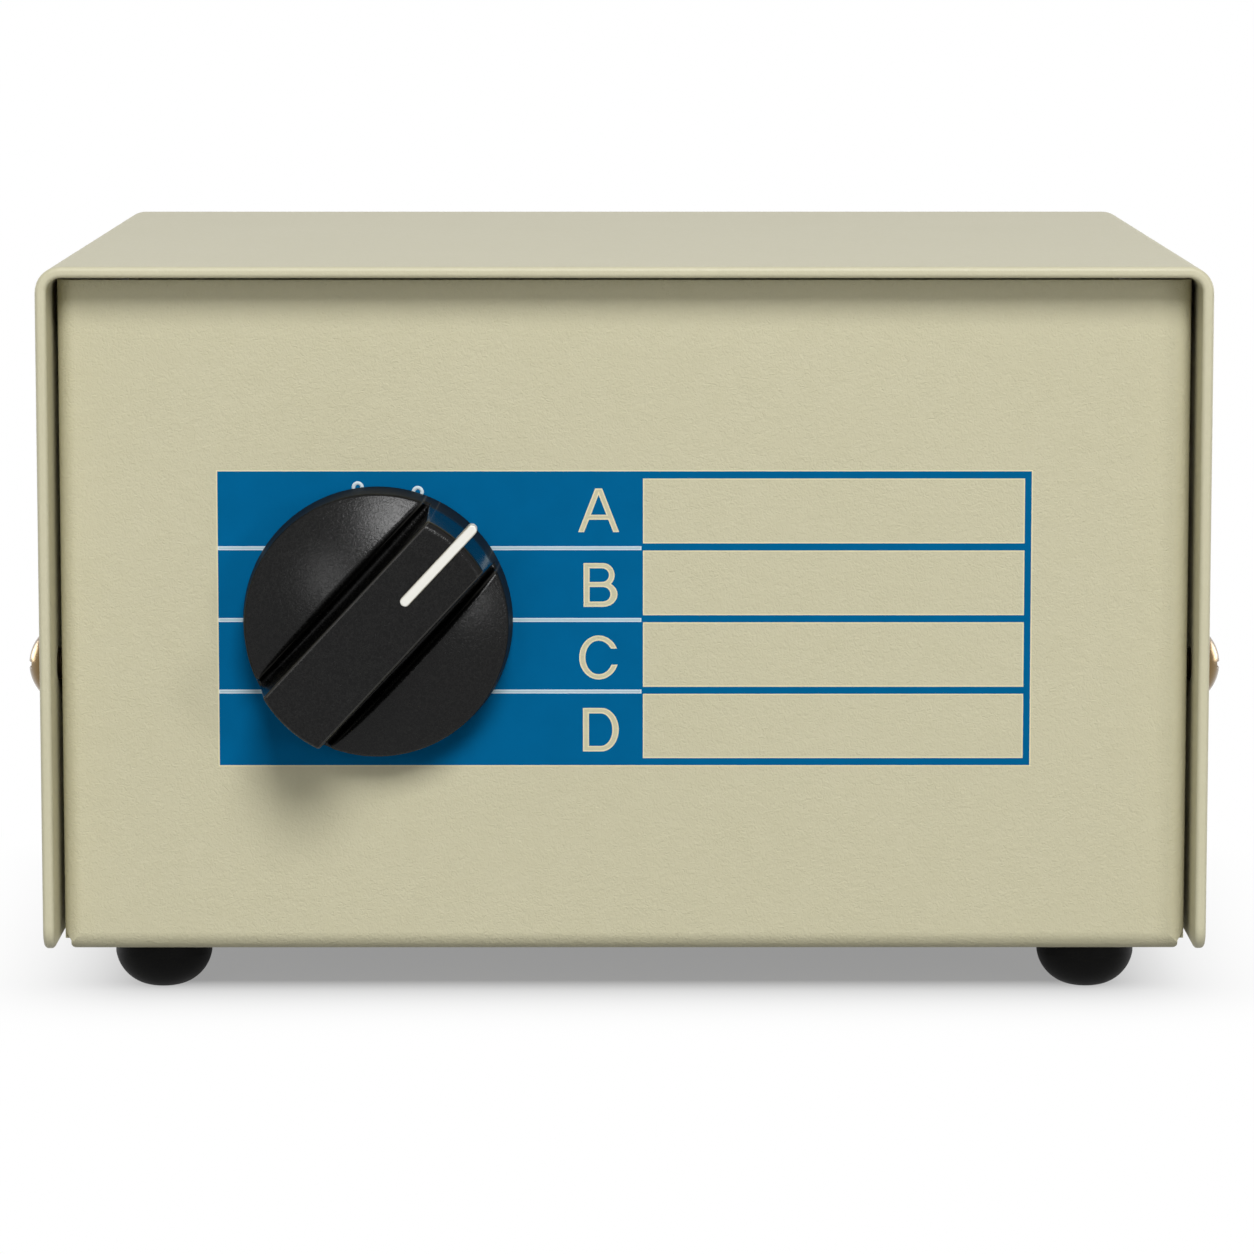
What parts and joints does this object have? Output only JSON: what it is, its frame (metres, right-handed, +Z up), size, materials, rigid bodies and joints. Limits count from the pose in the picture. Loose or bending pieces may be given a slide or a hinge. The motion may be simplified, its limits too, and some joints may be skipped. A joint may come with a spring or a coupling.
{
  "type": "coaxial antenna switch",
  "caption": "Desktop selector box: bent steel case with a rotary pointer knob on its recessed front panel and bayonet coaxial sockets on the rear, on rubber feet.",
  "frame": {"origin": "middle of the whole, knob and sockets included, on the surface that the feet stand on", "axes": "+Z up, +X to the right seen from the front, -Y towards the user"},
  "size_m": [0.1588, 0.1516, 0.0984],
  "materials": {
    "case_paint": "fine textured beige enamel",
    "panel_paint": "beige enamel with a printed blue label",
    "screw_plate": "yellow passivated zinc plate",
    "foot_rubber": "matt black rubber",
    "knob_plastic": "fine grained satin black",
    "pointer_white": "white plastic insert",
    "brass": "turned",
    "black_steel": "black oxide",
    "steel": "ground",
    "zinc_plate": "bright zinc plate",
    "nickel": "bright nickel plate",
    "spring_steel": "polished strip",
    "wafer_board": "resin-bonded paper",
    "rotor_plastic": "moulded resin",
    "silver": "silver plate",
    "gold": "gold plate",
    "insulator": "white fluoropolymer",
    "lead_jacket": "black jacket"
  },
  "bodies": {
    "case": {"cover": "case_paint", "tray": "panel_paint", "cover_screws": "screw_plate", "foot_front_left": "foot_rubber", "foot_front_right": "foot_rubber", "foot_rear_left": "foot_rubber", "foot_rear_right": "foot_rubber", "index_plate": "zinc_plate", "switch_bushing": "nickel", "panel_washer": "zinc_plate", "panel_nut": "nickel", "index_rollers": "steel", "index_springs": "spring_steel", "tie_rods": "zinc_plate", "tie_spacers": "zinc_plate", "wafer_stator": "wafer_board", "ground_lugs": "silver", "socket_washers": "nickel", "socket_nuts": "nickel", "clip_a": "silver", "socket_a_shell": "nickel", "socket_a_insulator": "insulator", "socket_a_contact": "gold", "coax_lead_a": "lead_jacket", "clip_b": "silver", "socket_b_shell": "nickel", "socket_b_insulator": "insulator", "socket_b_contact": "gold", "coax_lead_b": "lead_jacket", "clip_c": "silver", "socket_c_shell": "nickel", "socket_c_insulator": "insulator", "socket_c_contact": "gold", "coax_lead_c": "lead_jacket", "clip_d": "silver", "socket_d_shell": "nickel", "socket_d_insulator": "insulator", "socket_d_contact": "gold", "coax_lead_d": "lead_jacket", "clip_common": "silver", "socket_common_shell": "nickel", "socket_common_insulator": "insulator", "socket_common_contact": "gold", "coax_lead_common": "lead_jacket"},
    "selector": {"knob_body": "knob_plastic", "knob_pointer": "pointer_white", "knob_bush": "brass", "knob_set_screw": "black_steel", "switch_shaft": "steel", "drive_blade": "steel", "index_wheel": "zinc_plate", "wafer_rotor": "rotor_plastic", "rotor_contact": "silver"}
  },
  "joints": [
    {"name": "selector_turn", "type": "hinge", "parent": "case", "child": "selector", "pos_m": [-0.0326, -0.05885, 0.0512], "axis": [0, -1, 0], "range_deg": [0, 77.14]}
  ]
}
